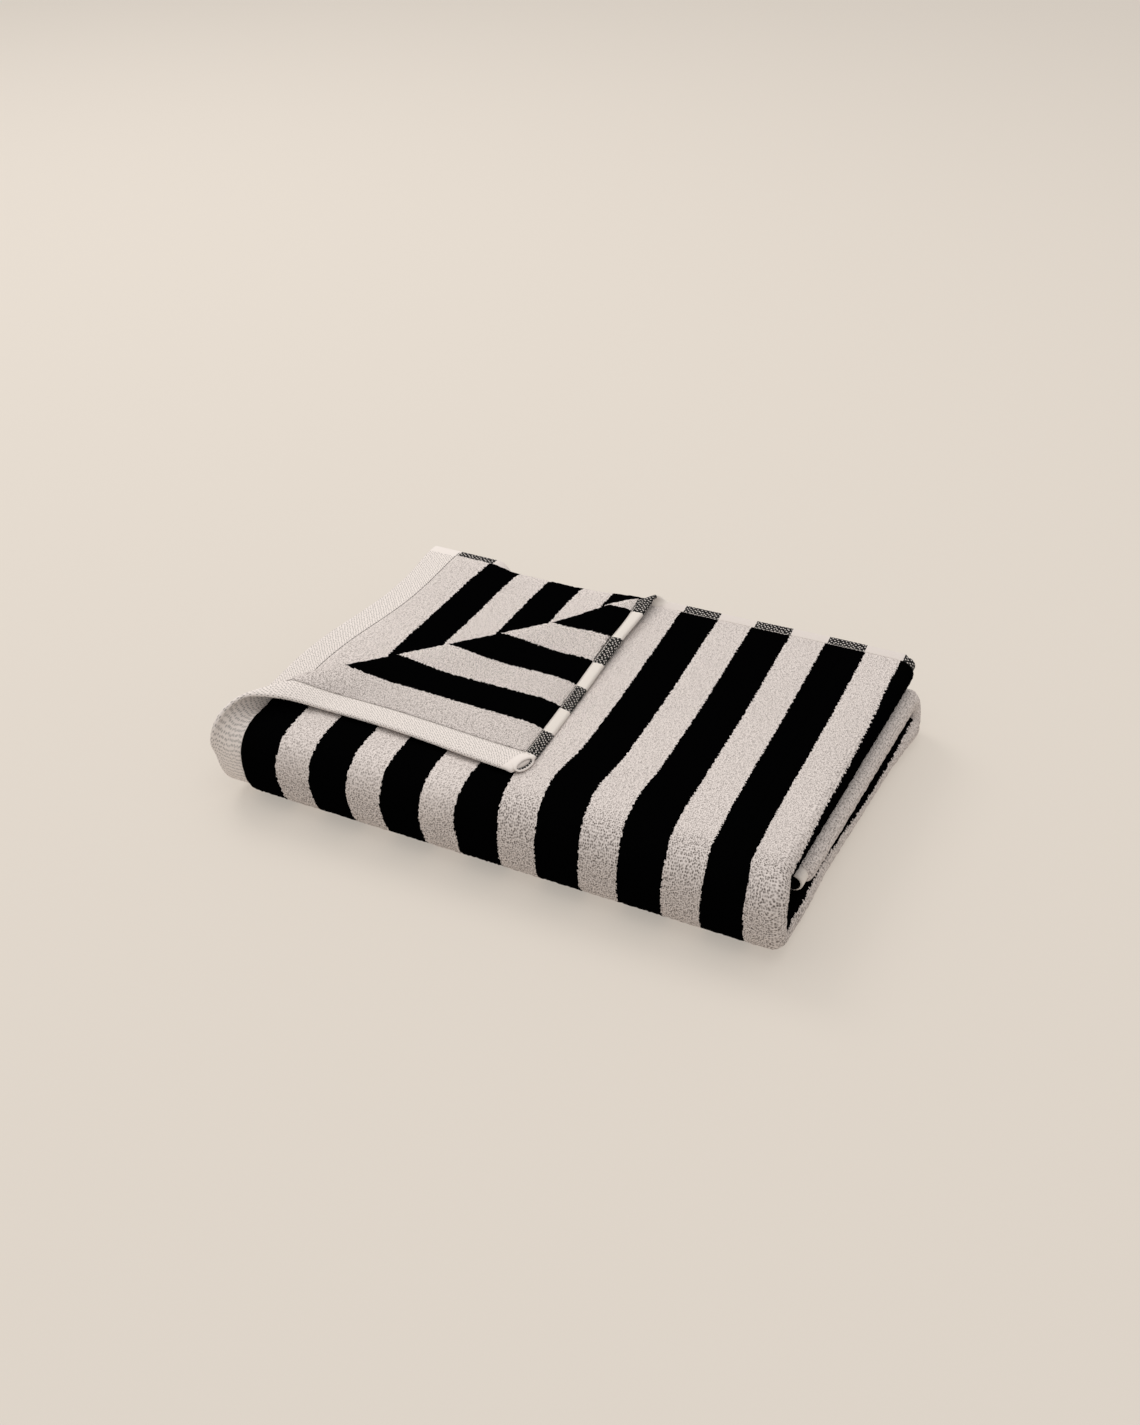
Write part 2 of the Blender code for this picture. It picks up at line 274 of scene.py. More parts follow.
def towel(u, v):
    """Middle surface of the folded towel."""
    fold_x = np.interp(v, FOLD_V, FOLD_X)
    fold_u = np.interp(v, FOLD_V, FOLD_U)
    pull_u = np.interp(v, FOLD_V, PULL_U)
    flat_end = fold_u - FOLD_ARC
    pulled = (LEFT + flat_end - fold_x) * smooth((u - pull_u) / (flat_end - pull_u))
    past = u - flat_end
    outer = past < 0
    turn = np.clip(past / LEAF_OFFSET, 0.0, math.pi)
    beyond = np.maximum(past - 2 * FOLD_ARC, 0.0)
    x = np.where(outer, LEFT + u - pulled, fold_x + LEAF_OFFSET * np.sin(turn) - beyond)
    y, z, ny, nz = stack_path(v + crease_slide(u) * fall(v, 0.450, 0.220))
    out = LEAF_OFFSET * np.cos(turn)
    edge_lift = 0.0018
    y = y + out * ny
    z = z + out * nz + outer * edge_lift * fall(v, 0.016, 0.016)
    x = x + outer_edge_drawn(u, v) + stripes_lean(u, v)
    under_x, under_y, under_z = under_sheet_lie(u, v)
    return np.stack([x + under_x, y + under_y, z + under_z], -1)


def normals(surface, u, v):
    """Unit normals on face A, the outside of the doubled cloth."""
    along_u = surface(u + STEP, v) - surface(u - STEP, v)
    along_v = surface(u, v + STEP) - surface(u, v - STEP)
    return unit(np.cross(along_v, along_u))


def flap_lie(u, v):
    """How the flap's edges stray from its flat plane, in x, y, z."""
    tip_draw, front_draw, draw_width = 0.0020, 0.0088, 0.075
    tip_narrow, band_lift, back_lift = 0.0070, 0.0012, 0.0030
    hem_over, hem_drop = 0.0012, 0.0010
    drawn = np.clip(1 - u / draw_width, 0, 1) ** 1.5
    hem_fall = np.clip(1 - v / END_HEM, 0, 1)
    x = -tip_narrow * np.clip(1 - u / SIDE_HEM, 0, 1) * fall(v, 0.035, 0.035)
    y = drawn * mix(tip_draw, front_draw, smooth(v / 0.110))
    z = band_lift * fall(u, 1.5 * SIDE_HEM, SIDE_HEM)
    z = z + back_lift * rise(u, 0.060, 0.100) * fall(v, 0.030, 0.030)
    return np.stack([x - hem_over * hem_fall, y, z - hem_drop * hem_fall**2], -1)


def corner(u, v):
    """Middle surface of the turned-back corner: the roll along the crease, then the flap."""
    beyond = ((CREASE - u - v) / SQRT2)[..., None]
    u_crease = (CREASE + u - v) / 2
    v_crease = CREASE - u_crease
    start = towel(u_crease, v_crease)
    up = normals(towel, u_crease, v_crease)
    ahead = towel(u_crease + STEP, v_crease - STEP) - towel(u_crease - STEP, v_crease + STEP)
    away = unit(np.cross(up, unit(ahead)))
    tip = TIP_ROLL * np.exp(-np.maximum(u_crease, 0) / TIP_ROLL_LENGTH)
    radius = (ROLL + tip)[..., None]
    turn = np.clip(beyond / radius, 0.0, math.pi)
    flat = np.maximum(beyond - math.pi * radius, 0.0)
    rolled = start + away * radius * np.sin(turn) + up * radius * (1 - np.cos(turn)) - away * flat

    past_curl = 0.05  # the flap's plane takes no part in the side hem's curl
    level_slide = crease_slide(np.maximum(u_crease, past_curl))
    flap_z = STACK / 2 + FRONT_MID + LEAF_OFFSET + FLAP_LIFT
    line = np.stack(
        [LEFT + u_crease, TOP_END - v_crease - level_slide, flap_z + 0 * u_crease], -1
    )
    lie = np.array([1.0, -1.0, 0.0]) / SQRT2
    far = line + lie * (beyond - math.pi * ROLL) + flap_lie(u, v)
    return mix(rolled, far, smooth((beyond - math.pi * radius) / SETTLE))


# ---------------------------------------------------------------- meshes
RIM_BULGE = 0.8  # how far a sheet's rim stands out, in half thicknesses
RIM_CLOTH = 1.2  # how much of the cloth it takes
FLAP_OPENING_AND_SHADING = 0.55  # how far the loops stand apart on the turned-back corner; the same share darkens the flap's terry a little as painted shade and gives its end hem the paler white as painted light


def grid_faces(count_u, count_v, first_i=0, first_j=0, keep="all"):
    """Quads of a grid, cut along the crease's diagonal where asked."""
    i, j = np.meshgrid(np.arange(count_u - 1), np.arange(count_v - 1), indexing="ij")
    a = i * count_v + j
    b = a + count_v
    c = b + 1
    d = a + 1
    total = i + j + first_i + first_j
    quads = np.stack([a, b, c, d], -1)
    if keep == "all":
        return [tuple(f) for f in quads.reshape(-1, 4).tolist()]
    if keep == "leaf":
        whole = quads[total >= CREASE_CELLS]
        part = np.stack([b, c, d], -1)[total == CREASE_CELLS - 1]
    else:
        whole = quads[total + 2 <= CREASE_CELLS]
        part = np.stack([a, b, d], -1)[total + 1 == CREASE_CELLS]
    return [tuple(f) for f in whole.tolist()] + [tuple(f) for f in part.tolist()]


def shell(name, points, normal, half, faces, uv, opening_and_shading, pile=None, weight=None):
    """A closed sheet: face A, face B and a rounded rim, from one grid of points."""
    used = np.unique(np.concatenate([np.array(f) for f in faces]))
    index = -np.ones(len(points), int)
    index[used] = np.arange(len(used))
    faces = [tuple(index[k] for k in f) for f in faces]
    points, normal, half, uv = points[used], normal[used], half[used], uv[used]
    opening_and_shading = opening_and_shading[used]
    count = len(points)
    rough_a = 0.0 if pile is None else pile[0][used][:, None] * normal
    rough_b = 0.0 if pile is None else pile[1][used][:, None] * normal
    top = points + normal * half[:, None] + rough_a
    low = points - normal * half[:, None] - rough_b

    edges = {}
    for face in faces:
        for k in range(len(face)):
            a, b = face[k], face[(k + 1) % len(face)]
            if (b, a) in edges:
                del edges[(b, a)]
            else:
                edges[(a, b)] = True
    outward = np.zeros_like(points)
    for a, b in edges:
        way = np.cross(points[b] - points[a], normal[a])
        outward[a] += way
        outward[b] += way
    rim = sorted({a for a, b in edges} | {b for a, b in edges})
    rim_index = {a: 2 * count + k for k, a in enumerate(rim)}
    rim_array = np.array(rim)
    rim_half = half[rim_array][:, None]
    edge_points = points[rim_array] - unit(outward[rim_array]) * rim_half * RIM_BULGE
    vertices = np.concatenate([top, low, edge_points])
    face_list = [tuple(reversed(f)) for f in faces]
    face_list += [tuple(k + count for k in f) for f in faces]
    for a, b in edges:
        face_list.append((a, b, rim_index[b], rim_index[a]))
        face_list.append((rim_index[a], rim_index[b], b + count, a + count))
    mesh = bpy.data.meshes.new(name)
    mesh.from_pydata(vertices.tolist(), [], face_list)
    around = np.zeros_like(uv)
    for a, b in edges:
        step = uv[b] - uv[a]
        around[a] += (step[1], -step[0])
        around[b] += (step[1], -step[0])
    rim_uv = uv[rim_array] + unit(around[rim_array]) * rim_half * RIM_CLOTH
    all_uv = np.concatenate([uv, uv, rim_uv])
    side = np.concatenate([np.ones(count), np.zeros(count), np.full(len(rim), 0.5)])
    corners = np.empty(len(mesh.loops), np.int32)
    mesh.loops.foreach_get("vertex_index", corners)
    layer = mesh.uv_layers.new(name="fabric")
    layer.data.foreach_set("uv", all_uv[corners].astype(np.float32).ravel())
    attribute = mesh.attributes.new("side", "FLOAT", "POINT")
    attribute.data.foreach_set("value", side.astype(np.float32))
    attribute = mesh.attributes.new("opening_and_shading", "FLOAT", "POINT")
    all_opening_and_shading = np.concatenate([opening_and_shading, opening_and_shading, opening_and_shading[rim_array]])
    attribute.data.foreach_set("value", all_opening_and_shading.astype(np.float32))
    mesh.polygons.foreach_set("use_smooth", np.ones(len(mesh.polygons), bool))
    mesh.update()
    piece = bpy.data.objects.new(name, mesh)
    bpy.context.scene.collection.objects.link(piece)
    if weight is not None:
        weights = np.concatenate([weight[used], weight[used], weight[used][rim_array]])
        return piece, weights
    return piece, None


def axis_values(start, stop, step):
    count = max(int(round((stop - start) / step)), 1)
    return np.linspace(start, stop, count + 1)


def pile_opening_and_shading(u, v):
    """How far the loops stand apart: most where the cloth turns tightly over a fold. The share also
    darkens the terry's colour there as painted shade, most on the front fold's face and on the
    right-hand fold.
    """
    on_flat, on_front, on_side, side_width = 0.25, 0.75, 0.35, 0.014
    front = rise(v, TOP_V - 0.008, 0.016) * fall(v, FRONT_V + 0.02, 0.02)
    side = 1 - np.clip(np.abs(u - np.interp(v, FOLD_V, FOLD_U)) / side_width, 0, 1)
    return np.clip(on_flat + on_front * front + on_side * side, 0, 1)


def flap_opening_and_shading(u, v):
    return np.full(u.shape, FLAP_OPENING_AND_SHADING)


def patch(
    name, us, vs, surface, half, keep="all", pile_height=0.0, seed=1, weight=None,
    opening_and_shading=pile_opening_and_shading,
):
    """A sheet over a rectangle of the flat towel."""
    u, v = np.meshgrid(us, vs, indexing="ij")
    points = surface(u, v).reshape(-1, 3)
    normal = normals(surface, u, v).reshape(-1, 3)
    thick = half(u, v).reshape(-1)
    first_i = int(round(us[0] / GRID))
    first_j = int(round(vs[0] / GRID))
    faces = grid_faces(len(us), len(vs), first_i, first_j, keep)
    pile = None
    if pile_height:
        random = np.random.default_rng(seed)
        pile = random.uniform(-pile_height, pile_height, (2, points.shape[0]))
    uv = np.stack([u, v], -1).reshape(-1, 2)
    flat_weight = None if weight is None else weight(u, v).reshape(-1)
    loops_and_shading = opening_and_shading(u, v).reshape(-1)
    return shell(name, points, normal, thick, faces, uv, loops_and_shading, pile, flat_weight)


def ride_between(piece, weights):
    mesh = piece.data
    rest = np.empty(len(mesh.vertices) * 3, np.float32)
    mesh.vertices.foreach_get("co", rest)
    flat = np.zeros((len(mesh.vertices), 3), np.float32)
    flat[:, 2] = weights
    mesh.vertices.foreach_set("co", flat.ravel())
    mesh.update()
    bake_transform(piece)
    mesh.vertices.foreach_set("co", rest)
    mesh.update()


def leaf_weight(u, v):
    """0 on the front fold, 1 on the top leaf."""
    on_fold, bending = 0.012, 0.030
    return np.clip((TOP_V + on_fold - v) / bending, 0, 1)


def rounded(edge):
    """A quarter circle's height, from 0 at the edge to 1."""
    return np.sqrt(1 - (1 - np.clip(edge, 0, 1)) ** 2)


def corner_weight(u, v):
    """0 on the crease, 1 on the flap."""
    beyond = (CREASE - u - v) / SQRT2
    bending = 0.014
    return np.clip(beyond / bending, 0, 1)


def terry_half(inner_u=None, outer_u=None, first_v=None, last_v=None):
    """Half thickness of terry: full, and rounded down to the hems on the sides that are given."""

    def half(u, v):
        edge = np.full(u.shape, 1.0)
        sides = ((inner_u, 1, u), (outer_u, -1, u), (first_v, 1, v), (last_v, -1, v))
        for line, way, place in sides:
            if line is not None:
                edge = np.minimum(edge, (place - line) * way / ROUNDED_EDGE)
        return mix(HALF_TERRY_EDGE, HALF_TERRY, rounded(edge))

    return half


def hem_half(u, v):
    return np.full(u.shape, HALF_HEM)


def ply_half(u, v):
    return np.full(u.shape, HALF_PLY)


# ---------------------------------------------------------------- materials
LOOP = 0.00098  # spacing of the drawn loops along the stripes, and across them
LOOP_U = 0.00110
WHITE = (0.800, 0.730, 0.698, 1.0)
DIMPLE = (0.20, 0.170, 0.155, 1.0)  # the ground between white loops
BLACK = (0.0009, 0.0009, 0.0010, 1.0)
HEM_WHITE = (0.800, 0.737, 0.700, 1.0)
# The end hem's plain white: darker on the towel's hems as painted shade, paler on the flap as
# painted light.
SHADED_HEM_WHITE = (0.700, 0.640, 0.606, 1.0)
LIT_FLAP_HEM_WHITE = (0.760, 0.705, 0.655, 1.0)
HEM_DOT = (0.060, 0.056, 0.054, 1.0)
TWEED_THREAD = (0.700, 0.645, 0.612, 1.0)
TWEED_GROUND = (0.012, 0.012, 0.012, 1.0)
BAND_DOTS = (0.00150, 0.18, 0.36)  # spacing in metres, inner and outer radius in spacings
TWEED_DOTS = (0.00200, 0.15, 0.30)


def new_material(name, roughness, specular):
    material = bpy.data.materials.new(name)
    material.use_nodes = True
    shader = material.node_tree.nodes["Principled BSDF"]
    shader.inputs["Roughness"].default_value = roughness
    shader.inputs["Specular IOR Level"].default_value = specular
    return material, material.node_tree, shader


def add_bump(graph, height, strength, distance, shader):
    bump = graph.node("ShaderNodeBump")
    bump.inputs["Strength"].default_value = strength
    bump.inputs["Distance"].default_value = distance
    graph.link(height, bump.inputs["Height"])
    graph.link(bump.outputs[0], shader.inputs["Normal"])


class Graph:
    """Short names for the nodes that the cloth materials use."""

    def __init__(self, tree):
        self.tree = tree

    def node(self, kind, **values):
        node = self.tree.nodes.new(kind)
        for key, value in values.items():
            setattr(node, key, value)
        return node

    def link(self, a, b):
        self.tree.links.new(a, b)

    def math(self, operation, *inputs, clamp=False):
        node = self.node("ShaderNodeMath", operation=operation, use_clamp=clamp)
        for socket, value in zip(node.inputs, inputs):
            self.feed(socket, value)
        return node.outputs[0]

    def feed(self, socket, value):
        if isinstance(value, (int, float, tuple)):
            socket.default_value = value
        else:
            self.link(value, socket)

    def vector(self, x, y, z=0.0):
        node = self.node("ShaderNodeCombineXYZ")
        for socket, value in zip(node.inputs, (x, y, z)):
            self.feed(socket, value)
        return node.outputs[0]

    def separate(self, vector):
        node = self.node("ShaderNodeSeparateXYZ")
        self.link(vector, node.inputs[0])
        return node.outputs

    def mix(self, factor, a, b):
        node = self.node("ShaderNodeMix", data_type="RGBA")
        self.feed(node.inputs[0], factor)
        self.feed(node.inputs[6], a)
        self.feed(node.inputs[7], b)
        return node.outputs[2]

    def attribute(self, name):
        return self.node("ShaderNodeAttribute", attribute_name=name).outputs["Fac"]

    def cells(self, x, y, randomness):
        node = self.node("ShaderNodeTexVoronoi", voronoi_dimensions="2D")
        self.link(self.vector(x, y), node.inputs["Vector"])
        node.inputs["Scale"].default_value = 1.0
        node.inputs["Randomness"].default_value = randomness
        return node.outputs["Distance"], node.outputs["Color"]

    def ramp(self, value, low, high, to_low=0.0, to_high=1.0):
        node = self.node("ShaderNodeMapRange", interpolation_type="SMOOTHSTEP")
        for socket, number in zip(node.inputs, (value, low, high, to_low, to_high)):
            self.feed(socket, number)
        return node.outputs[0]


def fabric_place(graph):
    uv = graph.node("ShaderNodeUVMap", uv_map="fabric")
    return graph.separate(uv.outputs[0])[:2]


def noise(graph, vector, scale, detail):
    node = graph.node("ShaderNodeTexNoise", noise_dimensions="2D")
    graph.link(vector, node.inputs["Vector"])
    node.inputs["Scale"].default_value = scale
    node.inputs["Detail"].default_value = detail
    return node.outputs["Fac"]


def stripe_is_black(graph, u, odd=0.0, spread=0.0):
    """1 on the even stripes, or the odd ones, at this u; the black pile spreads over its edges."""
    place = graph.math("DIVIDE", graph.math("SUBTRACT", u, SIDE_HEM), STRIPE)
    place = graph.math("MAXIMUM", graph.math("MINIMUM", place, STRIPE_COUNT - 0.1), 0.1)
    centre = graph.math("FLOORED_MODULO", graph.math("ADD", place, odd), 2.0)
    from_middle = graph.math("ABSOLUTE", graph.math("SUBTRACT", centre, 0.5))
    from_middle = graph.math("MINIMUM", from_middle, graph.math("SUBTRACT", 2.0, from_middle))
    return graph.math("LESS_THAN", from_middle, 0.5 + spread)


def woven_dots(graph, u, v, spacing, inner, outer):
    """Round dots on a slightly uneven diagonal grid: 1 in each dot's middle, 0 between them."""
    step = spacing * SQRT2
    x = graph.math("DIVIDE", graph.math("ADD", u, v), step)
    y = graph.math("DIVIDE", graph.math("SUBTRACT", u, v), step)
    distance = graph.cells(x, y, randomness=0.38)[0]
    return graph.ramp(distance, inner, outer, 1.0, 0.0)


def face_a(graph):
    return graph.math("GREATER_THAN", graph.attribute("side"), 0.5)


def uneven_edge(graph, u, v, place):
    """u, with the toothed and swaying edges that the stripes have in their rows of loops."""
    tooth_depth, sway_depth, sway_scale = 0.0010, 0.0030, 8.0
    row = graph.math("FLOOR", graph.math("DIVIDE", v, LOOP))
    half_stripe = graph.math("FLOOR", graph.math("DIVIDE", u, STRIPE / 2))
    white_noise = graph.node("ShaderNodeTexWhiteNoise", noise_dimensions="2D")
    graph.link(graph.vector(row, half_stripe), white_noise.inputs["Vector"])
    tooth = graph.math("SUBTRACT", white_noise.outputs[0], 0.5)
    sway = graph.math("SUBTRACT", noise(graph, place, sway_scale, 0.0), 0.5)
    toothed = graph.math("ADD", u, graph.math("MULTIPLY", tooth, tooth_depth))
    return graph.math("ADD", toothed, graph.math("MULTIPLY", sway, sway_depth))


def black_share(graph, u):
    """1 on black pile: the even stripes on face A, the odd ones on face B."""
    side = face_a(graph)
    on_a = graph.math("MULTIPLY", stripe_is_black(graph, u, 0.0, 0.035), side)
    other = graph.math("SUBTRACT", 1.0, side)
    on_b = graph.math("MULTIPLY", stripe_is_black(graph, u, 1.0, 0.020), other)
    return graph.math("ADD", on_a, on_b)


def terry_material(name):
    """Striped terry: dark specks between the loops, most where the pile is open, and the colour
    darkened there as painted shade, most on the front fold's face.
    """
    material, tree, shader = new_material(name, roughness=0.95, specular=0.0)
    graph = Graph(tree)
    u, v = fabric_place(graph)
    place = graph.vector(u, v)
    opening_and_shading = graph.attribute("opening_and_shading")
    black = black_share(graph, uneven_edge(graph, u, v, place))

    loop_x, loop_y = graph.math("DIVIDE", u, LOOP_U), graph.math("DIVIDE", v, LOOP)
    distance, random_colour = graph.cells(loop_x, loop_y, randomness=0.70)
    deep = graph.math("MULTIPLY_ADD", graph.separate(random_colour)[0], 0.40, 0.60)
    speck = graph.math("MULTIPLY", graph.ramp(distance, 0.10, 0.56, 1.0, 0.0), deep)
    cluster_scale, shade_scale, fibre_scale = 520.0, 9.0, 3.0
    clusters = noise(graph, place, cluster_scale, 2.0)
    clusters = graph.ramp(clusters, 0.36, 0.64, 0.65, 1.30)
    speck = graph.math("MULTIPLY", speck, clusters)
    open_share = graph.math("MULTIPLY_ADD", opening_and_shading, 0.66, 0.40)
    white = graph.mix(graph.math("MULTIPLY", speck, open_share, clamp=True), WHITE, DIMPLE)

    # random tone, times painted shade: the colour darkens where the pile is open, most on the front
    # fold and the right-hand fold
    broad = graph.math("MULTIPLY_ADD", noise(graph, place, shade_scale, 3.0), 0.10, 0.95)
    shade = graph.math("MULTIPLY", broad, graph.math("MULTIPLY_ADD", opening_and_shading, -0.12, 1.03))
    shaded = graph.node("ShaderNodeVectorMath", operation="SCALE")
    graph.link(white, shaded.inputs[0])
    graph.link(shade, shaded.inputs["Scale"])
    graph.link(graph.mix(black, shaded.outputs[0], BLACK), shader.inputs["Base Color"])

    fibre = noise(graph, graph.vector(loop_x, loop_y), fibre_scale, 2.0)
    height = graph.math("SUBTRACT", graph.math("MULTIPLY", fibre, 0.5), speck)
    add_bump(graph, height, strength=0.7, distance=0.0006, shader=shader)
    return material


def end_block_colour(graph, u, v, tweed):
    """End hem: tweed over the black stripes and plain white over the others, painted paler on the
    flap as light and darker on the towel's hems as shade.
    """
    # painted light and shade: the flap's hem gets the paler white, the towel's hems the darker one
    lit_on_flap = graph.ramp(graph.attribute("opening_and_shading"), 0.40, FLAP_OPENING_AND_SHADING - 0.01)
    plain = graph.mix(lit_on_flap, SHADED_HEM_WHITE, LIT_FLAP_HEM_WHITE)
    tucked = graph.math("GREATER_THAN", v, LENGTH / 2)
    at_side = graph.math("MULTIPLY", graph.math("LESS_THAN", u, SIDE_HEM), tucked)
    dot_depth = 0.90
    dots = graph.math("MULTIPLY", woven_dots(graph, u, v, *BAND_DOTS), at_side)
    plain = graph.mix(graph.math("MULTIPLY", dots, dot_depth), plain, HEM_DOT)
    inside = graph.math("SUBTRACT", tucked, face_a(graph), clamp=True)
    return graph.mix(stripe_is_black(graph, u), graph.mix(inside, plain, BLACK), tweed)


def weave_material(name, kind):
    """Flat woven hem: a dotted side band, end hem blocks of tweed and plain white, or all tweed."""
    material, tree, shader = new_material(name, roughness=0.88, specular=0.12)
    graph = Graph(tree)
    u, v = fabric_place(graph)
    if kind == "band":
        past_end = graph.math("GREATER_THAN", v, END_HEM)
        dots = graph.math("MULTIPLY", woven_dots(graph, u, v, *BAND_DOTS), past_end)
        dot_depth = 0.58
        colour = graph.mix(graph.math("MULTIPLY", dots, dot_depth), HEM_WHITE, HEM_DOT)
        height = graph.math("SUBTRACT", 1.0, dots)
    else:
        height = woven_dots(graph, u, v, *TWEED_DOTS)
        colour = graph.mix(height, TWEED_GROUND, TWEED_THREAD)
        if kind == "ends":
            colour = end_block_colour(graph, u, v, colour)
    graph.link(colour, shader.inputs["Base Color"])
    add_bump(graph, height, strength=0.35, distance=0.0003, shader=shader)
    return material


def thread_material(name, colour):
    roughness, specular = 0.7, 0.5
    material, _, shader = new_material(name, roughness, specular)
    shader.inputs["Base Color"].default_value = colour
    return material


def floor_material():
    """Pale floor, half of its brightness given off by itself so that shadows stay light."""
    material, _, shader = new_material("studio_floor", roughness=1.0, specular=0.0)
    base, glow, lit_share = (0.70, 0.640, 0.575), (0.766, 0.700, 0.625, 1.0), 0.50
    shader.inputs["Base Color"].default_value = tuple(c * lit_share for c in base) + (1.0,)
    shader.inputs["Emission Color"].default_value = glow
    shader.inputs["Emission Strength"].default_value = 1.0 - lit_share
    return material


# ---------------------------------------------------------------- camera and stage
def add_camera():
    """Fitted to the pile's corners as the photo shows them."""
    azimuth = math.radians(24.168)
    elevation = math.radians(36.891)
    target = Vector((-0.02724, 0.04346, 0.0))
    distance = 1.00755
    sensor = 36.0
    focal = 1.313772  # in widths of the picture
    towards = Vector(
        (
            math.sin(azimuth) * math.cos(elevation),
            -math.cos(azimuth) * math.cos(elevation),
            math.sin(elevation),
        )
    )
    data = bpy.data.cameras.new("camera")
    camera = bpy.data.objects.new("camera", data)
    bpy.context.scene.collection.objects.link(camera)
    camera.location = target + towards * distance
    camera.rotation_euler = towards.to_track_quat("Z", "Y").to_euler()
    data.sensor_fit = "HORIZONTAL"
    data.sensor_width = sensor
    data.lens = sensor * focal
    bpy.context.scene.camera = camera


def add_light(name, location, size, power):
    """A round area light turned to the middle of the floor."""
    data = bpy.data.lights.new(name, "AREA")
    data.shape = "DISK"
    data.size = size
    data.energy = power
    data.color = (1.0, 0.98, 0.95)
    lamp = bpy.data.objects.new(name, data)
    lamp.location = location
    lamp.rotation_euler = Vector(location).to_track_quat("Z", "Y").to_euler()
    bpy.context.scene.collection.objects.link(lamp)


def add_stage():
    size, depth = 6.0, 0.0004  # half the floor's side, and how far it lies under the towel
    mesh = bpy.data.meshes.new("studio_floor")
    mesh.from_pydata(
        [(-size, -size, 0), (size, -size, 0), (size, size, 0), (-size, size, 0)],
        [],
        [(0, 1, 2, 3)],
    )
    floor = bpy.data.objects.new("studio_floor", mesh)
    floor.location.z = -depth
    mesh.materials.append(floor_material())
    bpy.context.scene.collection.objects.link(floor)
    world = bpy.data.worlds.new("studio")
    world.use_nodes = True
    background = world.node_tree.nodes["Background"]
    background.inputs["Color"].default_value = (1.0, 0.975, 0.945, 1.0)
    background.inputs["Strength"].default_value = 0.59
    bpy.context.scene.world = world
    add_light("overhead", (-0.25, 0.25, 2.2), 3.0, 23.0)
    add_light("key", (-1.5, 0.9, 1.7), 1.0, 14.0)
    bpy.context.scene.view_settings.view_transform = "Standard"


# ---------------------------------------------------------------- the towel's pieces
def build_towel(cloths):
    """Four sheets of terry and their hems, with fine meshes where they can be seen."""
    band_u = axis_values(0.0, SIDE_HEM, GRID)
    far_band = axis_values(WIDTH - SIDE_HEM, WIDTH, GRID)
    outer_u = axis_values(SIDE_HEM, SPLIT_U, GRID)
    outer_coarse = axis_values(SIDE_HEM, SPLIT_U, COARSE)
    side_u = axis_values(SPLIT_U, HIDDEN_U[0], GRID)
    hidden_u = axis_values(*HIDDEN_U, 0.004)
    shown_u = axis_values(HIDDEN_U[1], WIDTH - SIDE_HEM, GRID)
    inner_u = np.concatenate([side_u, hidden_u[1:], shown_u[1:]])
    rest_u = axis_values(HIDDEN_U[0], WIDTH - SIDE_HEM, COARSE)
    inner_coarse = np.concatenate([side_u, rest_u[1:]])

    hem_v = axis_values(0.0, END_HEM, GRID)
    top_v = axis_values(END_HEM, SPLIT_V, GRID)
    lower_v = axis_values(SPLIT_V, LENGTH - END_HEM, COARSE / 2)
    last_v = axis_values(LENGTH - END_HEM, LENGTH, GRID)
    whole_top_v = np.concatenate([hem_v, top_v[1:]])
    whole_low_v = np.concatenate([lower_v, last_v[1:]])

    far_u = WIDTH - SIDE_HEM
    last_hem = LENGTH - END_HEM
    # name, cloth, u, v, half thickness, which cells are kept, whether it moves, CAD nodes
    plans = (
        ("towel_top_outer", "terry", outer_u, top_v,
         terry_half(inner_u=SIDE_HEM, first_v=END_HEM), "leaf", True,
         ("top_leaf_outer", "front_fold_outer")),
        ("towel_top_inner", "terry", inner_u, top_v,
         terry_half(outer_u=far_u, first_v=END_HEM), "all", True,
         ("top_leaf_inner", "front_fold_inner", "top_side_fold", "front_side_fold")),
        ("towel_lower_outer", "terry", outer_coarse, lower_v,
         terry_half(inner_u=SIDE_HEM, last_v=last_hem), "all", False,
         ("bottom_leaf_outer", "middle_leaf_upper", "back_fold_outer")),
        ("towel_lower_inner", "terry", inner_coarse, lower_v,
         terry_half(outer_u=far_u, last_v=last_hem), "all", False,
         ("bottom_leaf_inner", "middle_leaf_lower", "back_fold_inner",
          "bottom_side_fold", "middle_side_fold", "back_side_fold")),
        ("side_hem_top_outer", "band", band_u, whole_top_v, hem_half, "leaf", True,
         ("top_side_hem_outer",)),
        ("side_hem_top_inner", "band", far_band, whole_top_v, hem_half, "all", True,
         ("top_side_hem_inner",)),
        ("side_hem_lower_outer", "band", band_u, whole_low_v, hem_half, "all", False,
         ("outer_side_hem",)),
        ("side_hem_lower_inner", "band", far_band, whole_low_v, hem_half, "all", False,
         ("inner_side_hem",)),
        ("end_hem_top_outer", "ends", outer_u, hem_v, hem_half, "leaf", True,
         ("end_hem_outer",)),
        ("end_hem_top_inner", "ends", inner_u, hem_v, hem_half, "all", True,
         ("end_hem_inner",)),
        ("end_hem_tucked_outer", "ends", outer_u, last_v, hem_half, "all", False,
         ("tucked_end_hem_upper",)),
        ("end_hem_tucked_inner", "ends", inner_coarse, last_v, hem_half, "all", False,
         ("tucked_end_hem_lower",)),
    )
    pieces = {}
    for name, kind, us, vs, half, keep, moving, nodes in plans:
        material, slot, pile = cloths[kind]
        seed = len(pieces) + 1
        weight = leaf_weight if moving else None
        piece, weights = patch(name, us, vs, towel, half, keep, pile, seed, weight)
        piece.data.materials.append(material)
        if moving:
            ride_between(piece, weights)
        else:
            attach(piece, "folded_stack")
        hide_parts(*nodes)
        pieces[name] = piece
    return pieces


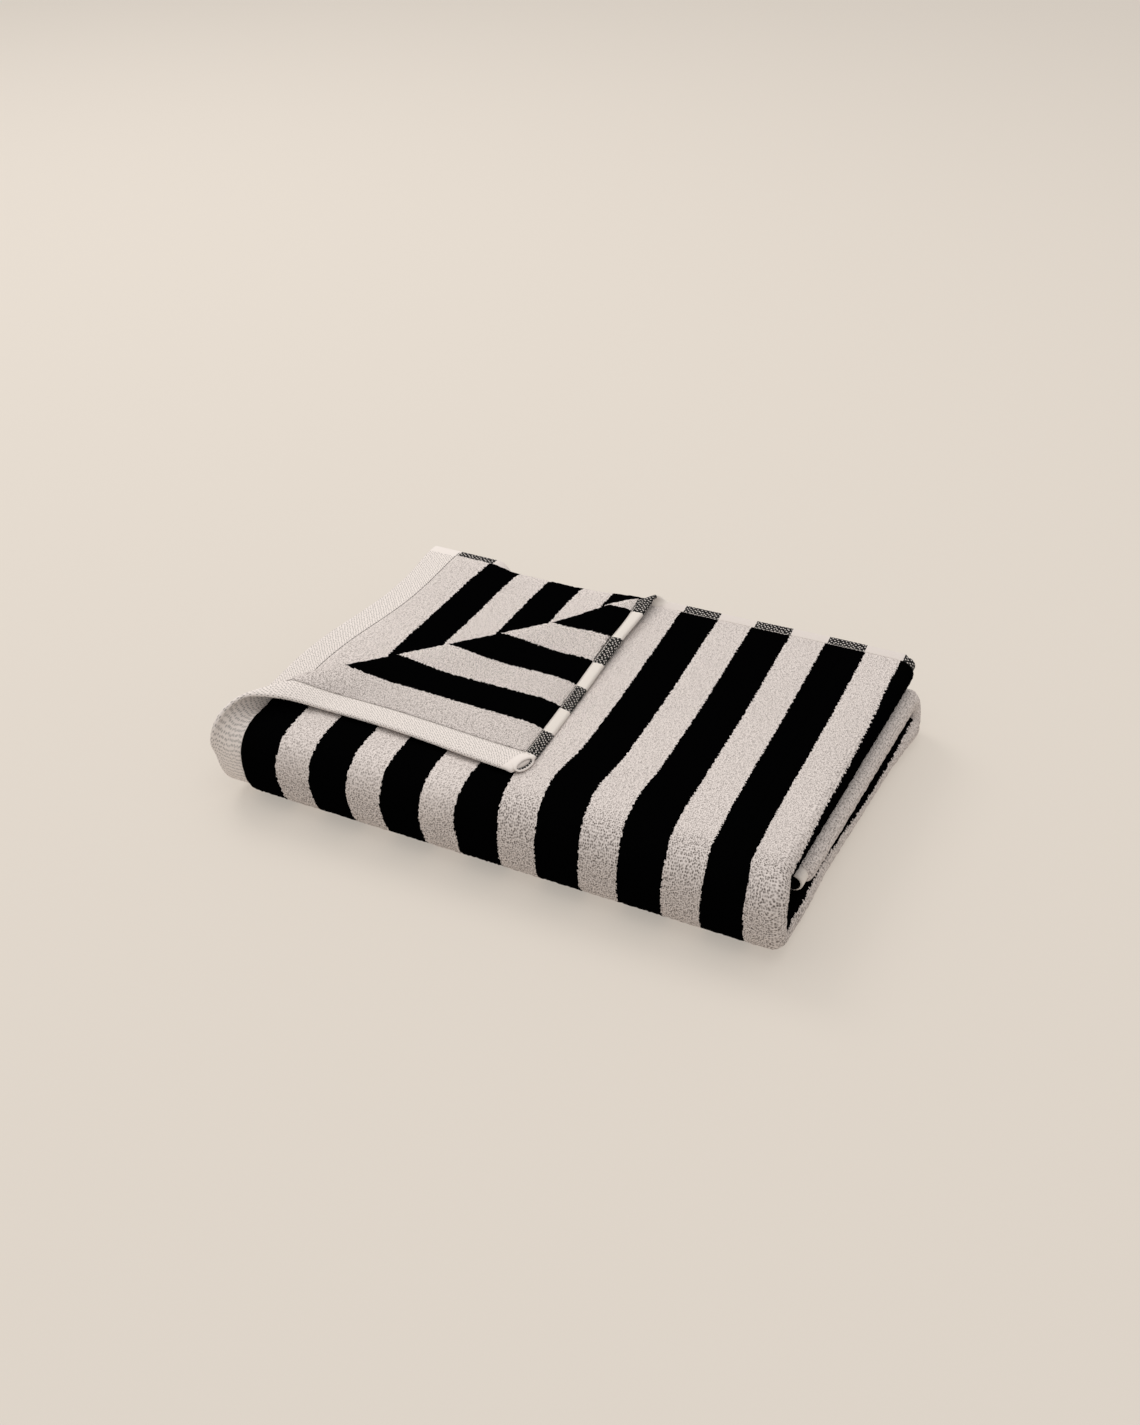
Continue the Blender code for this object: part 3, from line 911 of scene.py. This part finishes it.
def panel_surface(u, v):
    """The hood panel lies on the turned-back cloth and thins out on to its hems."""
    edge_lift, full_lift = 0.0015, 0.0031
    inside = np.minimum(u - SIDE_HEM, v - END_HEM)
    lift = mix(edge_lift, full_lift, smooth(inside / 0.014))
    return corner(u, v) - normals(corner, u, v) * lift[..., None]


def panel_half(u, v):
    """Half thickness of the hood panel, thin at its hems and at the crease."""
    at_hems = np.minimum((u - SIDE_HEM) / 0.0120, (v - END_HEM) / 0.0080)
    at_crease = ((CREASE - u - v) / SQRT2 - 0.0034) / 0.0030
    return mix(THIN_EDGE, HALF_PANEL, rounded(np.minimum(at_hems, at_crease)))


def build_corner(cloths):
    """The turned-back corner: its backing cloth, its two hems and the hood panel."""
    whole = axis_values(0.0, CREASE, GRID)
    terry_u = axis_values(SIDE_HEM, CREASE, GRID)
    terry_v = axis_values(END_HEM, CREASE, GRID)
    band_u = axis_values(0.0, SIDE_HEM, GRID)
    hem_v = axis_values(0.0, END_HEM, GRID)
    # name, cloth, u, v, surface, half thickness, seed, CAD node
    plans = (
        ("corner_backing_cloth", "backing", terry_u, terry_v, corner, ply_half, 40,
         "corner_backing"),
        ("corner_side_band", "band", band_u, whole, corner, swelling_hem, 41,
         "corner_side_hem"),
        ("corner_end_band", "ends", terry_u, hem_v, corner, hem_half, 42,
         "corner_end_hem"),
        ("hood_panel_cloth", "panel", terry_u, terry_v, panel_surface, panel_half, 60,
         "hood_panel"),
    )
    pieces = {}
    for name, kind, us, vs, surface, half, seed, node in plans:
        material, slot, pile = cloths[kind]
        piece, weights = patch(
            name, us, vs, surface, half, "corner", pile, seed, corner_weight, flap_opening_and_shading
        )
        piece.data.materials.append(material)
        ride_between(piece, weights)
        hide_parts(node)
        pieces[name] = piece
    return pieces


# ---------------------------------------------------------------- the open end of the side hem
MOUTH_U = 0.0088  # middle of the side hem's open end, and half its width and height
MOUTH_HALF = 0.0074
MOUTH_HIGH = 0.0021
MOUTH_SLANT = 0.8  # how far the lower lip stands out beyond the upper one, in mouth heights
MOUTH_RAISE = 0.0013
MOUTH_SECTIONS = (  # how far out, share of the mouth's size, and whether it is the lining
    (-0.0060, 0.70, 0), (-0.0020, 0.97, 0), (0.0010, 1.05, 0), (0.0019, 1.02, 0),
    (0.0022, 0.92, 0), (0.0017, 0.80, 0), (0.0002, 0.76, 1), (-0.0040, 0.62, 1),
)
MOUTH_SIDES = 40


def swelling_hem(u, v):
    """Half thickness of the side hem: a flat tube, a little open at its end."""
    across = np.clip(1 - ((u - MOUTH_U) / MOUTH_HALF) ** 2, 0, 1)
    return HALF_HEM + (MOUTH_HIGH - HALF_HEM) * np.sqrt(across) * fall(v, 0.013, 0.013)


def mouth_axes():
    """The mouth's middle, and the ways along it, up from the flap and out of it."""
    u, v, near = np.array([MOUTH_U]), np.array([0.0]), 0.004
    centre = corner(u, v)[0] + np.array([0.0, 0.0, MOUTH_RAISE])
    along = unit(corner(u + near, v) - corner(u - near, v))[0]
    up = -normals(corner, u, v)[0]
    out = unit(np.cross(along, up))
    if np.dot(out, corner(u, v)[0] - corner(u, v + near)[0]) < 0:
        out = -out
    return centre, along, up, out


def mouth_rings():
    """Points of the lip's rings, with their places on the cloth."""
    centre, along, up, out = mouth_axes()
    thickness, least_high, deepest = 0.0012, 0.0003, 0.0060
    points, uvs = [], []
    for reach, size, _ in MOUTH_SECTIONS:
        high = max(MOUTH_HIGH * size - (1 - size) * thickness, least_high)
        for k in range(MOUTH_SIDES):
            turn = 2 * math.pi * k / MOUTH_SIDES
            place = along * MOUTH_HALF * size * math.cos(turn) + up * high * math.sin(turn)
            slant = -MOUTH_SLANT * high * math.sin(turn) * (1 + reach / deepest)
            points.append(centre + out * (reach + slant) + place)
            uvs.append((MOUTH_HALF * turn, reach))
    return points, uvs


def build_mouth(band, lining):
    """The open end of the side hem at the corner's tip: a rolled lip round a dark hollow."""
    vertices, uvs = mouth_rings()
    sides = MOUTH_SIDES
    faces, lined_faces = [], []
    for level in range(len(MOUTH_SECTIONS) - 1):
        for k in range(sides):
            a, b = level * sides + k, level * sides + (k + 1) % sides
            faces.append((a, b, b + sides, a + sides))
            lined_faces.append(MOUTH_SECTIONS[level + 1][2])
    first = tuple(reversed(range(sides)))
    last = tuple((len(MOUTH_SECTIONS) - 1) * sides + k for k in range(sides))
    faces += [first, last]
    lined_faces += [0, 1]
    mesh = bpy.data.meshes.new("corner_hem_mouth")
    mesh.from_pydata([tuple(p) for p in vertices], [], faces)
    layer = mesh.uv_layers.new(name="fabric")
    for loop in mesh.loops:
        layer.data[loop.index].uv = uvs[loop.vertex_index]
    mesh.materials.append(band)
    mesh.materials.append(lining)
    for polygon, lined in zip(mesh.polygons, lined_faces):
        polygon.material_index = lined
        polygon.use_smooth = True
    piece = bpy.data.objects.new("corner_hem_mouth", mesh)
    bpy.context.scene.collection.objects.link(piece)
    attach(piece, "hood_corner")
    return {"corner_hem_mouth": piece}


# ---------------------------------------------------------------- stitches
STITCH_SECTIONS = ((-0.42, 0.4), (-0.30, 1.0), (0.30, 1.0), (0.42, 0.4))  # in STITCH, in radii
STITCH_SIDES = 6


def stitches(name, surface, line, colour, radius, node, body, lift):
    """A row of lock stitches along a line of the cloth, each a small closed bar of thread."""
    u, v = line
    up = -normals(surface, u, v)
    centre = surface(u, v) + up * lift
    ahead = unit(np.gradient(centre, axis=0))
    side = unit(np.cross(up, ahead))
    places = np.concatenate([[0], np.cumsum(np.linalg.norm(np.diff(centre, axis=0), axis=1))])
    sides, sections = STITCH_SIDES, STITCH_SECTIONS
    ring = np.linspace(0, 2 * math.pi, sides + 1)[:-1]
    vertices, faces = [], []
    for k in range(int(places[-1] // STITCH)):
        at = (k + 0.5) * STITCH
        middle = np.array([np.interp(at, places, centre[:, i]) for i in range(3)])
        near = min(int(np.searchsorted(places, at)), len(places) - 1)
        base = len(vertices)
        for along, wide in sections:
            for turn in ring:
                across = math.cos(turn) * side[near] + math.sin(turn) * up[near]
                vertices.append(middle + ahead[near] * along * STITCH + radius * wide * across)
        for level in range(len(sections) - 1):
            for i in range(sides):
                a, b = base + level * sides + i, base + level * sides + (i + 1) % sides
                faces.append((a, b, b + sides, a + sides))
        last = base + (len(sections) - 1) * sides
        faces.append(tuple(base + i for i in reversed(range(sides))))
        faces.append(tuple(last + i for i in range(sides)))
    mesh = bpy.data.meshes.new(name)
    mesh.from_pydata([tuple(p) for p in vertices], [], faces)
    mesh.polygons.foreach_set("use_smooth", np.ones(len(mesh.polygons), bool))
    mesh.materials.append(thread_material(name, colour))
    piece = bpy.data.objects.new(name, mesh)
    bpy.context.scene.collection.objects.link(piece)
    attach(piece, body)
    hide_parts(node)
    return piece


def build_stitching():
    """A row just inside each hem of the top leaf and of the turned-back corner."""
    dark = (0.085, 0.078, 0.074, 1.0)
    pale = (0.62, 0.57, 0.53, 1.0)
    samples = 400
    fixed = np.ones(samples)
    on_end_hem = fixed * (END_HEM - 0.0009)
    on_side_hem = fixed * (SIDE_HEM - 0.0010)
    on_far_hem = fixed * (WIDTH - SIDE_HEM + 0.0008)
    first, from_roll = 0.003, 0.024  # where a row begins, and how far it keeps from the roll
    # name, surface, line (u, v), colour, radius, CAD node, body, lift over the middle surface
    rows = (
        ("leaf_side_stitches", towel,
         (on_far_hem, np.linspace(0.002, TOP_V - 0.020, samples)),
         dark, 0.00028, "side_hem_stitching", "top_leaf", HALF_HEM),
        ("leaf_end_stitches", towel,
         (np.linspace(CREASE + 0.006, 0.3640, samples), on_end_hem),
         pale, 0.00022, "end_hem_stitching", "top_leaf", -HALF_HEM),
        ("corner_side_stitches", corner,
         (on_side_hem, np.linspace(first, CREASE - SIDE_HEM - from_roll, samples)),
         pale, 0.00024, "corner_side_stitching", "hood_corner", HALF_HEM),
        ("corner_end_stitches", corner,
         (np.linspace(first, CREASE - END_HEM - from_roll, samples), on_end_hem),
         pale, 0.00022, "corner_end_stitching", "hood_corner", HALF_HEM),
    )
    return {row[0]: stitches(*row) for row in rows}


def main():
    add_camera()
    add_stage()
    terry = terry_material("terry")
    band = weave_material("side_band", "band")
    ends = weave_material("end_band", "ends")
    cloths = {  # material, slot, unevenness of the pile
        "terry": (terry, "towel_terry", TOWEL_PILE),
        "backing": (terry, "towel_terry", BACKING_PILE),
        "panel": (terry, "hood_terry", TOWEL_PILE),
        "band": (band, "side_hem_weave", 0.0),
        "ends": (ends, "end_hem_weave", 0.0),
    }
    pieces = build_towel(cloths)
    pieces.update(build_corner(cloths))
    pieces.update(build_mouth(band, weave_material("hem_lining", "lining")))
    pieces.update(build_stitching())


main()
